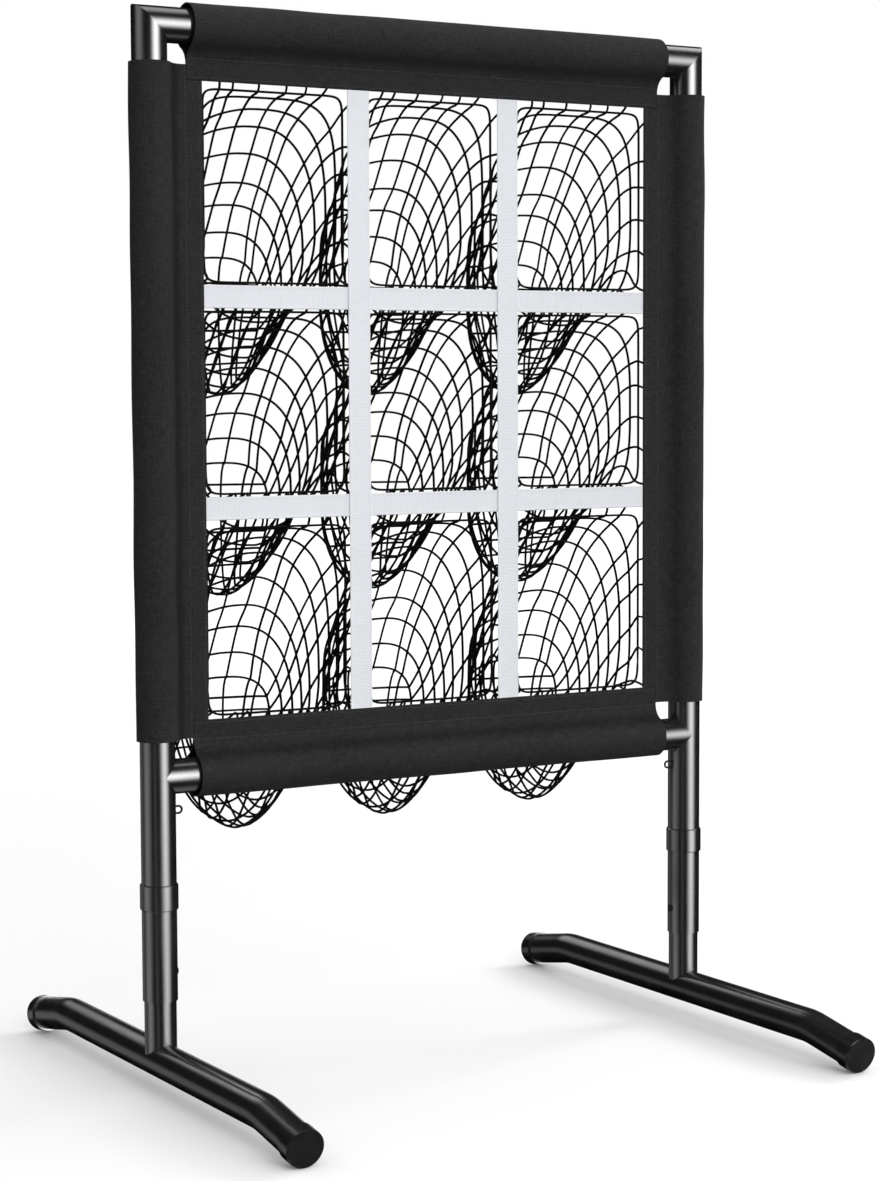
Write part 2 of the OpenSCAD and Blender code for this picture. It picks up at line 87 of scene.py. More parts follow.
def number_property(name, description, default):
    return bpy.props.FloatProperty(name=name, description=description, default=default)


class FootSizes(bpy.types.PropertyGroup):
    """The two bent tubes that the net stands on."""
    tube: length_property("Tube diameter", "Outside diameter of the foot tube", 0.0381)
    wall: length_property("Tube wall", "Wall of the foot tube", 0.0015)
    level: length_property("Level length", "Distance between the two bend points", 0.497)
    tail: length_property("Tail length", "From a bend point to the inside of the cap's face", 0.0854)
    bend: bpy.props.FloatProperty(name="Bend angle", description="Angle by which each end is bent down",
                                  default=math.radians(10.5), unit="ROTATION", subtype="ANGLE")
    radius: length_property("Bend radius", "Radius of the bends at the tube's axis", 0.110)
    axis: length_property("Axis height", "Height of the level part's axis", 0.03594)


class ClothSizes(bpy.types.PropertyGroup):
    """The black sleeves round the frame and their flat bands."""
    side_radius: length_property("Side radius", "Outside radius of the side sleeves' round part", 0.0226)
    top_radius: length_property("Top radius", "Outside radius of the top sleeve's round part", 0.0249)
    bottom_radius: length_property("Bottom radius",
                                   "Outside radius of the bottom sleeve's round part", 0.024)
    thick: length_property("Cloth thickness", "Thickness of one layer", 0.0012)
    band_half: length_property("Half band", "Half thickness of the double band", 0.00145)
    groove: length_property("Groove radius", "Radius of the groove between round and flat", 0.020)
    side_band: length_property("Side band", "From the upright's axis to the band's edge", 0.061)
    side_end: length_property("Side band end", "Width of the side band beside a bar band", 0.0425)
    top_band: length_property("Top band", "From the top bar's axis to the band's edge", 0.0565)
    bottom_band: length_property("Bottom band", "From the lower bar's axis to the band's edge", 0.059)
    side_seam: length_property("Side seam", "From the upright's axis to the seam", 0.0405)
    top_seam: length_property("Top seam", "From the top bar's axis to the seam", 0.0335)
    bottom_seam: length_property("Bottom seam", "From the lower bar's axis to the seam", 0.038)
    colour: colour_property("Cloth", "Colour of the woven cloth", (0.0187, 0.0187, 0.0193))
    thread: colour_property("Thread", "Colour of the sewing thread", (0.075, 0.075, 0.078))


class StrapSizes(bpy.types.PropertyGroup):
    """The white webbing that divides the opening."""
    thick: length_property("Thickness", "Thickness of the webbing", 0.0014)
    rib: length_property("Rib pitch", "Distance from one woven rib to the next", 0.0016)
    colour: colour_property("Webbing", "Colour of the webbing", (0.785, 0.805, 0.84))


class NetSizes(bpy.types.PropertyGroup):
    """The nine knotted pockets."""
    cord: length_property("Cord diameter", "Diameter of the net's cord", 0.0028)
    knot: length_property("Knot diameter", "Diameter of a knot", 0.0034)
    first_ring: length_property("First ring", "Depth of the first ring behind the straps", 0.006)
    ring_pitch: length_property("Ring pitch", "Distance from one ring to the next", 0.018)
    back: length_property("Back bulge", "How far the back bulges behind the last ring", 0.011)
    seed: bpy.props.IntProperty(name="Seed", description="Seed of the nets' small irregularities",
                                default=7)
    colour: colour_property("Cord", "Colour of the cord", (0.0018, 0.0018, 0.0018))


class SteelLooks(bpy.types.PropertyGroup):
    """Finishes of the tubes, caps and clips."""
    enamel: colour_property("Enamel", "Colour of the gloss enamel", (0.011, 0.011, 0.012))
    cap: colour_property("Cap", "Colour of the moulded end caps", (0.01, 0.01, 0.0104))
    wire: colour_property("Wire", "Colour of the dull tie eyes and buttons", (0.008, 0.008, 0.0084))
    zinc: colour_property("Zinc", "Colour of the plated clips", (0.56, 0.56, 0.58))


class StudioLooks(bpy.types.PropertyGroup):
    """Light and backdrop."""
    room: number_property("Room light", "Mean radiance of the room on matt surfaces", 0.6)
    panel: number_property("Main panel", "Radiance of the panel in front, seen in gloss", 30.0)
    side: number_property("Side panel", "Radiance of the panel on the left, seen in gloss", 2.9)
    front: number_property("Front lamp", "Power of the big lamp in front, in watts", 71.0)
    right: number_property("Right lamp", "Power of the lamp on the right, in watts", 40.0)


# ---- node trees ----

class Tree:
    """A node tree under construction."""

    def __init__(self, tree):
        self.tree = tree

    def feed(self, node, sockets):
        """Gives a node's sockets, by name or number, their values or links."""
        for key, value in sockets.items():
            if isinstance(value, Value):
                value = value.socket
            if isinstance(value, bpy.types.NodeSocket):
                self.tree.links.new(value, node.inputs[key])
            else:
                node.inputs[key].default_value = value
        return node

    def node(self, kind, settings=None, sockets=None):
        """Adds a node: its settings are set first, then its sockets."""
        made = self.tree.nodes.new(kind)
        for key, value in (settings or {}).items():
            setattr(made, key, value)
        return self.feed(made, sockets or {})


class Value:
    """A number in a shader tree that takes part in plain arithmetic."""

    def __init__(self, tree, socket):
        self.tree, self.socket = tree, socket

    def math(self, kind, *others, clamp=False):
        node = self.tree.node("ShaderNodeMath", {"operation": kind, "use_clamp": clamp},
                              dict(enumerate((self, *others))))
        return Value(self.tree, node.outputs[0])

    def __add__(self, other):
        return self.math("ADD", other)

    def __sub__(self, other):
        return self.math("SUBTRACT", other)

    def __mul__(self, other):
        return self.math("MULTIPLY", other)

    def __rsub__(self, other):
        return self * -1.0 + other

    __radd__ = __add__
    __rmul__ = __mul__

    def sin(self):
        return self.math("SINE")

    def highest(self, other):
        return self.math("MAXIMUM", other)

    def clamped(self):
        """The same value, held between nought and one."""
        return self.math("ADD", 0.0, clamp=True)

    def ramp(self, low, high, start=0.0, end=1.0):
        """Smooth step from start to end as the value goes from low to high."""
        node = self.tree.node("ShaderNodeMapRange", {"interpolation_type": "SMOOTHSTEP"},
                              {"Value": self, "From Min": low, "From Max": high,
                               "To Min": start, "To Max": end})
        return Value(self.tree, node.outputs["Result"])

    def between(self, low, high, soft):
        """One inside low to high, nought outside, with soft edges."""
        inner = self.ramp(low - soft, low + soft)
        return inner * self.ramp(high - soft, high + soft, 1.0, 0.0)


class Finish(Tree):
    """A material under construction, with one Principled BSDF."""

    def __init__(self, name, colour, roughness, **constants):
        material = bpy.data.materials.new(name)
        material.use_nodes = True
        material.diffuse_color = (*colour, 1)
        super().__init__(material.node_tree)
        self.shader = self.tree.nodes["Principled BSDF"]
        sockets = {label.replace("_", " "): value for label, value in constants.items()}
        self.feed(self.shader, {"Base Color": (*colour, 1), "Roughness": roughness, **sockets})

    def place(self, uv=False, stretch=(1, 1, 1)):
        """Object coordinates in metres, or the piece's own UV, scaled by stretch."""
        coords = self.node("ShaderNodeTexCoord").outputs["UV" if uv else "Object"]
        return self.node("ShaderNodeMapping", {}, {"Scale": stretch, "Vector": coords}).outputs["Vector"]

    def parts(self, vector):
        """The three numbers of a vector."""
        split = self.node("ShaderNodeSeparateXYZ", {}, {0: vector})
        return [Value(self, socket) for socket in split.outputs]

    def attribute(self, name):
        return self.node("ShaderNodeAttribute", {"attribute_name": name}).outputs

    def noise(self, scale, detail=2.0, rough=0.5, uv=False, stretch=(1, 1, 1)):
        node = self.node("ShaderNodeTexNoise", {}, {"Vector": self.place(uv, stretch), "Scale": scale,
                                                    "Detail": detail, "Roughness": rough})
        return Value(self, node.outputs["Fac"])

    def shade(self, factor, dark, light):
        """Drives the colour from dark to light by a factor."""
        mix = self.node("ShaderNodeMix", {"data_type": "RGBA"},
                        {"Factor": factor, "A": (*dark, 1), "B": (*light, 1)})
        self.feed(self.shader, {"Base Color": mix.outputs["Result"]})

    def rough(self, value):
        """Drives the roughness."""
        self.feed(self.shader, {"Roughness": value})

    def bump(self, height, distance, strength=1.0):
        node = self.node("ShaderNodeBump", {}, {"Distance": distance, "Strength": strength,
                                                "Height": height})
        self.feed(self.shader, {"Normal": node.outputs["Normal"]})


# ---- finishes ----

WEAVE_PITCH = 0.0013
YARN_PITCH = 0.0011
TWISTS_PER_METRE = 420.0


def tinted(colour, factor):
    return tuple(min(c * factor, 1.0) for c in colour)


def named(name):
    return bpy.data.materials[name]


def make_enamel(looks):
    """Gloss enamel with faint orange peel and dust."""
    f = Finish("black enamel", looks.enamel, 0.2, IOR=1.5)
    peel = f.noise(260.0, 2.0)
    broad = f.noise(22.0, 2.0)
    dust = f.noise(900.0, 3.0, 0.6)
    f.rough(broad.ramp(0.3, 0.7, 0.17, 0.235) + dust.ramp(0.55, 0.8, 0.0, 0.06))
    f.shade(dust.ramp(0.6, 0.85), looks.enamel, tinted(looks.enamel, 1.9))
    f.bump(peel, 0.00003, 0.6)


def make_cap_plastic(looks):
    f = Finish("cap plastic", looks.cap, 0.19, IOR=1.5)
    grain = f.noise(2600.0, 3.0, 0.6)
    broad = f.noise(60.0, 3.0)
    f.rough(broad.ramp(0.3, 0.7, 0.16, 0.21) + grain.ramp(0.6, 0.85, 0.0, 0.05))
    f.shade(grain.ramp(0.35, 0.7), tinted(looks.cap, 0.8), tinted(looks.cap, 1.25))
    f.bump(grain, 0.00002, 0.5)


def make_wire(looks):
    f = Finish("dull wire", looks.wire, 0.55, IOR=1.5, Specular_IOR_Level=0.08)
    wear = f.noise(900.0, 3.0, 0.6)
    f.rough(wear.ramp(0.3, 0.7, 0.45, 0.6))
    f.shade(wear.ramp(0.4, 0.8), tinted(looks.wire, 0.7), tinted(looks.wire, 1.6))
    f.bump(wear, 0.00004, 0.6)


def make_zinc(looks):
    f = Finish("zinc plate", looks.zinc, 0.3, Metallic=1.0)
    streak = f.noise(700.0, 3.0, 0.6, stretch=(1, 1, 0.08))
    f.rough(streak.ramp(0.3, 0.7, 0.22, 0.4))
    cloud = f.noise(180.0, 3.0).ramp(0.3, 0.7)
    f.shade(cloud, tinted(looks.zinc, 0.8), tinted(looks.zinc, 1.1))
    f.bump(streak, 0.00002, 0.5)


def make_cloth(sizes):
    """Plain weave in UV metres, with slubs that mottle it from afar; a painted shade attribute darkens
    the colour along the sleeves' folds.
    """
    f = Finish("woven cloth", sizes.colour, 0.8, IOR=1.45, Specular_IOR_Level=0.06)
    u, v, _ = f.parts(f.place(uv=True))
    turn = math.tau / WEAVE_PITCH
    weave = (u * turn).sin() * (v * turn).sin()
    along = f.noise(430.0, 2.0, 0.6, uv=True, stretch=(0.22, 1, 1))
    across = f.noise(430.0, 2.0, 0.6, uv=True, stretch=(1, 0.22, 1))
    broad = f.noise(9.0, 2.0, uv=True)
    slub = along.highest(across)
    crease = Value(f, f.attribute("crease")["Fac"])
    # painted shade: the colour goes darker along the folds by the per-point fold shade attribute
    tone = (slub - 0.5) * 2.1 + 0.42 + weave * 0.10 + (broad - 0.5) * 0.3 - crease
    f.shade(tone.clamped(), tinted(sizes.colour, 0.4), tinted(sizes.colour, 1.75))
    f.rough(slub.ramp(0.3, 0.8, 0.7, 0.86))
    f.bump(weave * 0.5 + slub * 0.9, 0.00025, 0.8)


def make_thread(sizes):
    f = Finish("sewing thread", sizes.thread, 0.6, Specular_IOR_Level=0.1)
    fuzz = f.noise(1800.0, 2.0, 0.6)
    f.shade(fuzz.ramp(0.3, 0.7), tinted(sizes.thread, 0.6), tinted(sizes.thread, 1.3))
    f.bump(fuzz, 0.0001, 0.6)


def make_webbing(sizes):
    """Ribbed webbing: u runs along the strap and v across it, both in metres."""
    f = Finish("white webbing", sizes.colour, 0.75, IOR=1.45, Specular_IOR_Level=0.08)
    u, v, _ = f.parts(f.place(uv=True))
    ribs = (u * (math.tau / sizes.rib)).sin()
    weave = ribs * (v * (math.tau / YARN_PITCH)).sin()
    soil = f.noise(14.0, 3.0, 0.6, uv=True)
    slub = f.noise(320.0, 2.0, 0.6, uv=True, stretch=(1, 0.3, 1))
    tone = weave * 0.22 + (slub - 0.5) * 0.9 + (soil - 0.5) * 0.7 + 0.5
    f.shade(tone.clamped(), tinted(sizes.colour, 0.93), tinted(sizes.colour, 1.045))
    f.rough(slub.ramp(0.3, 0.7, 0.65, 0.8))
    f.bump(weave * 0.5 + ribs * 0.5 + slub, 0.00018, 0.7)


def make_cord(sizes):
    """Twisted cord: the attribute 'lay' holds the way along it and round it."""
    f = Finish("net cord", sizes.colour, 0.6, IOR=1.45, Specular_IOR_Level=0.03)
    length, turn, _ = f.parts(f.attribute("lay")["Vector"])
    twist = ((length * TWISTS_PER_METRE + turn * 2.0) * math.tau).sin()
    fuzz = f.noise(1500.0, 2.0, 0.6)
    f.shade((twist * 0.25 + fuzz * 0.9).ramp(0.2, 0.9), tinted(sizes.colour, 0.6),
            tinted(sizes.colour, 1.8))
    f.rough(fuzz.ramp(0.3, 0.7, 0.5, 0.68))
    f.bump(twist * 0.6 + fuzz * 0.4, 0.00015, 0.7)


def paint(node, material):
    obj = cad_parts[node]
    obj.data.materials.clear()
    obj.data.materials.append(named(material))


PAINTED = {
    "black enamel": ("upright", "top_stub", "tee_stub", "collar", "leg_tube", "post"),
    "dull wire": ("tie_eye", "snap_button"),
    "cap plastic": ("front_cap", "rear_cap"),
    "zinc plate": ("clip_spring",),
}


class TARGETNET_OT_finishes(bpy.types.Operator):
    """Make every material and put the metal and plastic ones on the packed nodes"""
    bl_idname = "targetnet.finishes"
    bl_label = "Finishes"

    def execute(self, context):
        scene = context.scene
        for make in (make_enamel, make_cap_plastic, make_wire, make_zinc):
            make(scene.net_steel)
        make_cloth(scene.net_cloth)
        make_thread(scene.net_cloth)
        make_webbing(scene.net_straps)
        make_cord(scene.net_pockets)
        paint("top_crossbar", "black enamel")
        paint("bottom_crossbar", "black enamel")
        for side in SIDES:
            for material, parts in PAINTED.items():
                for part in parts:
                    paint(f"{side}_{part}", material)
        return {"FINISHED"}


# ---- mesh helpers ----

def mesh_object(name, points, faces, uvs=None, material=None):
    """Smooth object at the origin; uvs holds one pair for each corner of each face."""
    mesh = bpy.data.meshes.new(name)
    mesh.from_pydata([tuple(p) for p in points], [], faces)
    if uvs:
        layer = mesh.uv_layers.new(name="UVMap")
        layer.data.foreach_set("uv", [c for face in uvs for pair in face for c in pair])
    mesh.polygons.foreach_set("use_smooth", [True] * len(mesh.polygons))
    obj = bpy.data.objects.new(name, mesh)
    bpy.context.scene.collection.objects.link(obj)
    if material:
        mesh.materials.append(named(material))
    return obj


def band(first, second, count):
    """Quads between two closed rings of points, each given by the number of its first point."""
    pairs = ((i, (i + 1) % count) for i in range(count))
    return [(first + i, first + j, second + j, second + i) for i, j in pairs]


def finish_mesh(obj, angle):
    """Turns the faces outwards, and stops smooth shading at edges sharper than the angle."""
    work = bmesh.new()
    work.from_mesh(obj.data)
    bmesh.ops.recalc_face_normals(work, faces=work.faces)
    for edge in work.edges:
        edge.smooth = len(edge.link_faces) == 2 and edge.calc_face_angle(0.0) < angle
    work.to_mesh(obj.data)
    work.free()


def settle(obj, body, slot_name, *nodes):
    """Puts a finished piece on its body, in place of CAD nodes; slot_name is not used."""
    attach(obj, body)
    if nodes:
        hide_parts(*nodes)


def catmull(points, step):
    """Smooth path through the points, with a point at about every step."""
    out = [points[0]]
    ends = [points[0] * 2 - points[1]] + list(points) + [points[-1] * 2 - points[-2]]
    for i in range(1, len(ends) - 2):
        a, b, c, d = ends[i - 1:i + 3]
        count = max(1, round((c - b).length / step))
        for k in range(1, count + 1):
            t = k / count
            out.append(0.5 * (2 * b + (c - a) * t + (2 * a - 5 * b + 4 * c - d) * t * t
                              + (3 * b - a - 3 * c + d) * t ** 3))
    return out


# ---- geometry nodes ----

def geometry_tree(name, inputs):
    """A new group with named inputs: the tree, its input sockets and its output node."""
    group = bpy.data.node_groups.new(name, "GeometryNodeTree")
    for label, kind, value in inputs:
        socket = group.interface.new_socket(name=label, in_out="INPUT",
                                            socket_type="NodeSocket" + kind)
        if value is not None:
            socket.default_value = value
    group.interface.new_socket(name="Geometry", in_out="OUTPUT", socket_type="NodeSocketGeometry")
    tree = Tree(group)
    return tree, tree.node("NodeGroupInput").outputs, tree.node("NodeGroupOutput")


def finish_tree(tree, geometry, material, out):
    """Makes instances real and smooth, gives them their material and ends the tree."""
    real = tree.node("GeometryNodeRealizeInstances", {}, {"Geometry": geometry})
    smooth = tree.node("GeometryNodeSetShadeSmooth", {}, {"Geometry": real.outputs["Geometry"]})
    dress = tree.node("GeometryNodeSetMaterial", {}, {"Geometry": smooth.outputs[0],
                                                      "Material": material})
    tree.feed(out, {"Geometry": dress.outputs["Geometry"]})
    return tree.tree


def cord_tree():
    """Turns polylines into cord, and loose points marked 'knot' into knots."""
    tree, given, out = geometry_tree("Knotted Cord", (
        ("Geometry", "Geometry", None), ("Cord Radius", "Float", 0.0014), ("Sides", "Int", 6),
        ("Knot Radius", "Float", 0.0017), ("Cord", "Material", None)))

    def keep(geometry, label, value):
        node = tree.node("GeometryNodeCaptureAttribute", {"domain": "POINT"})
        node.capture_items.new("FLOAT", label)
        return tree.feed(node, {"Geometry": geometry, label: value}).outputs

    curve = tree.node("GeometryNodeMeshToCurve", {}, {"Mesh": given["Geometry"]})
    along = tree.node("GeometryNodeSplineParameter")
    path = keep(curve.outputs["Curve"], "Length", along.outputs["Length"])
    circle = tree.node("GeometryNodeCurvePrimitiveCircle", {"mode": "RADIUS"},
                       {"Resolution": given["Sides"], "Radius": given["Cord Radius"]})
    around = tree.node("GeometryNodeSplineParameter")
    profile = keep(circle.outputs["Curve"], "Turn", around.outputs["Factor"])
    pipe = tree.node("GeometryNodeCurveToMesh", {}, {
        "Curve": path["Geometry"], "Profile Curve": profile["Geometry"], "Fill Caps": True})
    lay = tree.node("ShaderNodeCombineXYZ", {}, {0: path["Length"], 1: profile["Turn"]})
    store = tree.node("GeometryNodeStoreNamedAttribute",
                      {"data_type": "FLOAT_VECTOR", "domain": "POINT"},
                      {"Name": "lay", "Geometry": pipe.outputs["Mesh"], "Value": lay.outputs[0]})
    mark = tree.node("GeometryNodeInputNamedAttribute", {"data_type": "BOOLEAN"}, {"Name": "knot"})
    ball = tree.node("GeometryNodeMeshIcoSphere", {}, {"Subdivisions": 1,
                                                       "Radius": given["Knot Radius"]})
    knots = tree.node("GeometryNodeInstanceOnPoints", {}, {
        "Points": given["Geometry"], "Selection": mark.outputs["Attribute"],
        "Instance": ball.outputs["Mesh"]})
    join = tree.node("GeometryNodeJoinGeometry", {}, {0: knots.outputs["Instances"]})
    tree.feed(join, {0: store.outputs["Geometry"]})
    return finish_tree(tree, join.outputs[0], given["Cord"], out)


def stitch_tree():
    """Lays a row of small stitches along polylines."""
    tree, given, out = geometry_tree("Stitch Row", (
        ("Geometry", "Geometry", None), ("Pitch", "Float", 0.004),
        ("Stitch Length", "Float", 0.003), ("Thickness", "Float", 0.0007),
        ("Thread", "Material", None)))
    curve = tree.node("GeometryNodeMeshToCurve", {}, {"Mesh": given["Geometry"]})
    points = tree.node("GeometryNodeCurveToPoints", {"mode": "LENGTH"},
                       {"Curve": curve.outputs["Curve"], "Length": given["Pitch"]})
    stitch = tree.node("GeometryNodeMeshIcoSphere", {}, {"Subdivisions": 1, "Radius": 0.5})
    size = tree.node("ShaderNodeCombineXYZ", {}, {0: given["Thickness"], 1: given["Thickness"],
                                                  2: given["Stitch Length"]})
    place = tree.node("GeometryNodeInstanceOnPoints", {}, {
        "Points": points.outputs["Points"], "Instance": stitch.outputs["Mesh"],
        "Rotation": points.outputs["Rotation"], "Scale": size.outputs[0]})
    return finish_tree(tree, place.outputs["Instances"], given["Thread"], out)


def grow(name, lines, group, values, dots=()):
    """Runs a group over polylines and loose dots, and returns the result as a plain mesh object."""
    points, edges = [], []
    for line in lines:
        edges += [(len(points) + i, len(points) + i + 1) for i in range(len(line) - 1)]
        points += [tuple(p) for p in line]
    marks = [False] * len(points) + [True] * len(dots)
    points += [tuple(p) for p in dots]
    mesh = bpy.data.meshes.new(name + " path")
    mesh.from_pydata(points, edges, [])
    mesh.attributes.new("knot", "BOOLEAN", "POINT").data.foreach_set("value", marks)
    guide = bpy.data.objects.new(name + " path", mesh)
    bpy.context.scene.collection.objects.link(guide)
    modifier = guide.modifiers.new("nodes", "NODES")
    modifier.node_group = group
    for item in group.interface.items_tree:
        if item.item_type == "SOCKET" and item.in_out == "INPUT" and item.name in values:
            modifier[item.identifier] = values[item.name]
    bpy.context.view_layer.update()
    evaluated = guide.evaluated_get(bpy.context.evaluated_depsgraph_get())
    made = bpy.data.meshes.new_from_object(evaluated)
    guide.modifiers.remove(modifier)
    bpy.data.objects.remove(guide)
    obj = bpy.data.objects.new(name, made)
    made.name = name
    bpy.context.scene.collection.objects.link(obj)
    return obj


# ---- feet ----

FOOT_SIDES = 64
BEND_STEPS = 8
FOOT_SHARP = math.radians(40)


def foot_path(sizes):
    """Points and downward slopes along the foot's axis, from front to rear."""
    tangent = sizes.radius * math.tan(sizes.bend / 2)
    start = sizes.level / 2 - tangent
    half = []
    for k in range(BEND_STEPS + 1):
        t = sizes.bend * k / BEND_STEPS
        half.append((start + sizes.radius * math.sin(t), -sizes.radius * (1 - math.cos(t)), t))
    y, z, t = half[-1]
    reach = sizes.tail - tangent
    half.append((y + reach * math.cos(t), z - reach * math.sin(t), t))
    return [(-y, z, t) for y, z, t in reversed(half)] + [(y, z, -t) for y, z, t in half]


class TARGETNET_OT_feet(bpy.types.Operator):
    """Sweep the two bent foot tubes"""
    bl_idname = "targetnet.feet"
    bl_label = "Feet"

    def execute(self, context):
        sizes = context.scene.net_feet
        path = foot_path(sizes)
        rings = len(path)
        turns = [math.tau * i / FOOT_SIDES for i in range(FOOT_SIDES)]
        faces = []
        for skin in (0, rings):
            for k in range(skin, skin + rings - 1):
                faces += band(k * FOOT_SIDES, (k + 1) * FOOT_SIDES, FOOT_SIDES)
        for k in (0, rings - 1):
            faces += band(k * FOOT_SIDES, (rings + k) * FOOT_SIDES, FOOT_SIDES)
        for side, sign in SIDES.items():
            points = []
            for r in (sizes.tube / 2, sizes.tube / 2 - sizes.wall):
                for y, z, t in path:
                    points += [Vector((sign * LEG_X + r * math.cos(a),
                                       y - r * math.sin(a) * math.sin(t),
                                       sizes.axis + z + r * math.sin(a) * math.cos(t)))
                               for a in turns]
            obj = mesh_object(f"{side}_foot_bend", points, faces, material="black enamel")
            finish_mesh(obj, FOOT_SHARP)
            settle(obj, f"{side}_leg", "frame_steel", f"{side}_foot_tube")
        return {"FINISHED"}


# ---- cloth ----

# Steps round a sleeve's section: round part, groove, flat band, and turns of its edge in degrees
ROUND_STEPS = 21
GROOVE_STEPS = 8
FLAT_SHARES = (0.12, 0.3, 0.5, 0.7, 0.85, 0.94)
EDGE_TURNS = (30, 60, 90)
# Steps along a sleeve, the first and last step, and the gap at a step of its band
SLEEVE_STEPS = 150
SLEEVE_HEM = 0.0008
BAND_GAP = 0.0001
SLEEVE_SHARP = math.radians(50)
# Slack of the cloth: waves over the round part, which fade out near the middle plane
PUFF = 0.0009
PUFF_WAVES = 7
PUFF_FADE = 0.004
PUFF_END = 0.05
ROUND_END = 0.03
# Puckers beside the groove: their height, their distance from the axis, how far they spread
PUCKER = 0.0005
PUCKER_AT = 0.034
PUCKER_SPREAD = 0.006
PUCKER_FROM = 0.02
# Painted shade along each sleeve's fold, a dark line in the cloth's colour: distance from the axis,
# spread and depth
LEFT_FOLD_SHADE = (0.0248, 0.0066, 0.72)
RIGHT_FOLD_SHADE = (0.027, 0.0055, 0.0)
TOP_FOLD_SHADE = (0.022, 0.006, 0.05)
BOTTOM_FOLD_SHADE = (0.0225, 0.006, 0.36)
# Stitch rows: points in a row, its stop short of the ends, its way in from the edge, its lift
ROW_STEPS = 120
ROW_STOP = 0.003
ROW_INSET = 0.0035
ROW_LIFT = 0.0001
STITCH = {"Pitch": 0.0036, "Stitch Length": 0.0027, "Thickness": 0.0006}
FULL_LENGTH = 9.0
SLEEVE_SEED = 11


def groove_centre(sizes, radius):
    """How far from the bar's axis the groove's centre lies."""
    h, rho = sizes.band_half, sizes.groove
    return math.sqrt((radius + rho) ** 2 - (h + rho) ** 2)


def sleeve_loop(sizes, r, width):
    """A section's outer and inner loops of (along the band, across it), and the outer's arcs."""
    h, rho, t = sizes.band_half, sizes.groove, sizes.thick
    inside = max(h - t, 0.0001)
    centre = groove_centre(sizes, r)
    turn = math.atan2(h + rho, centre)
    half_out, half_in = [], []
    for k in range(ROUND_STEPS + 1):
        a = math.pi - (math.pi - turn) * k / ROUND_STEPS
        half_out.append((r * math.cos(a), r * math.sin(a)))
        half_in.append(((r - t) * math.cos(a), (r - t) * math.sin(a)))
    for k in range(1, GROOVE_STEPS + 1):
        a = math.pi + turn + (math.pi / 2 - turn) * k / GROOVE_STEPS
        for half, radius in ((half_out, rho), (half_in, rho + t)):
            half.append((centre + radius * math.cos(a), h + rho + radius * math.sin(a)))
    flat = width - centre
    for share in FLAT_SHARES:
        half_out.append((centre + flat * share, h))
        half_in.append((centre + (flat - t) * share, inside))
    for a in map(math.radians, EDGE_TURNS):
        half_out.append((width - h + h * math.sin(a), h * math.cos(a)))
        half_in.append((width - t - 0.0001 * (1 - math.sin(a)), inside * math.cos(a)))
    loops = [half + [(p, -q) for p, q in reversed(half[1:-1])] for half in (half_out, half_in)]
    arc, outer = [0.0], loops[0]
    for (p0, q0), (p1, q1) in zip(outer, outer[1:] + outer[:1]):
        arc.append(arc[-1] + math.hypot(p1 - p0, q1 - q0))
    return loops, arc


class SleevePlan:
    """Where one sleeve goes: its node, span, radius, seam, painted fold shade, band widths and placing.
    """

    def __init__(self, name, node, span, radius, seam, fold, widths, place):
        self.name, self.node, self.span, self.radius, self.seam = name, node, span, radius, seam
        self.fold, self.widths, self.place = fold, widths, place

    def width_at(self, s):
        """Band width: widths holds (end of stretch, width) in order."""
        return next(width for end, width in self.widths if s < end)

    def stations(self):
        """Places along the sleeve, with a pair at each step of the band's width."""
        low, high = self.span
        stops = {low, low + SLEEVE_HEM, high - SLEEVE_HEM, high}
        stops |= {low + (high - low) * k / SLEEVE_STEPS for k in range(SLEEVE_STEPS + 1)}
        for end, _ in self.widths[:-1]:
            stops |= {end - BAND_GAP, end + BAND_GAP}
        return sorted(stops)

    def seam_height(self, sizes, face):
        """Height of the seam over the band's middle: in the groove it follows the groove."""
        h, rho = sizes.band_half, sizes.groove
        inside = max(0.0, groove_centre(sizes, self.radius) - self.seam)
        return face * (h + rho - math.sqrt(rho * rho - inside * inside) + ROW_LIFT)


def sleeve_object(plan, sizes, seed):
    """Sleeve along its span, as two skins closed at the ends, and its widest girth."""
    rng = random.Random(seed)
    waves = [(rng.uniform(20, 60), rng.uniform(0, math.tau), rng.uniform(-3, 3))
             for _ in range(PUFF_WAVES)]
    stations = plan.stations()
    centre, spread, depth = plan.fold
    points, uv_points, painted_crease_shades = [], [], []
    for s in stations:
        loops, arc = sleeve_loop(sizes, plan.radius, plan.width_at(s))
        for loop in loops:
            for i, (p, q) in enumerate(loop):
                angle, away = math.atan2(q, p), math.hypot(p, q)
                soft = min(1.0, abs(q) / PUFF_FADE) if p < PUFF_END else 0.0
                puff = sum(math.sin(f * s + ph + n * angle) for f, ph, n in waves)
                puff *= PUFF * soft / PUFF_WAVES
                if p > PUCKER_FROM:
                    near = math.exp(-((away - PUCKER_AT) / PUCKER_SPREAD) ** 2)
                    puff += near * PUCKER * math.sin(s * 310 + 2.0 * math.sin(s * 37))
                scale = 1 + puff / max(away, 0.01)
                points.append(plan.place(p if p > ROUND_END else p * scale, q * scale, s))
                uv_points.append((s, arc[i]))
                # painted shade: darkest on the fold's centre line, fading out over its spread
                painted_crease_shades.append(depth * math.exp(-((p - centre) / spread) ** 2))
    count, total, last = len(loops[0]), arc[-1], len(stations) - 1
    faces, uvs = [], []
    for k in range(last):
        for skin in (0, 1):
            faces += band((2 * k + skin) * count, (2 * k + 2 + skin) * count, count)
    for k in (0, last):
        faces += band(2 * k * count, (2 * k + 1) * count, count)
    for face in faces:
        pairs = [uv_points[k] for k in face]
        if face[1] % count == 0:
            pairs = [(u, v if v > total / 2 else v + total) for u, v in pairs]
        uvs.append(pairs)
    obj = mesh_object(plan.name, points, faces, uvs, material="woven cloth")
    obj.data.attributes.new("crease", "FLOAT", "POINT").data.foreach_set("value", painted_crease_shades)
    finish_mesh(obj, SLEEVE_SHARP)
    widest = max(width for _, width in plan.widths)
    return obj, sleeve_loop(sizes, plan.radius, widest)[1][-1]


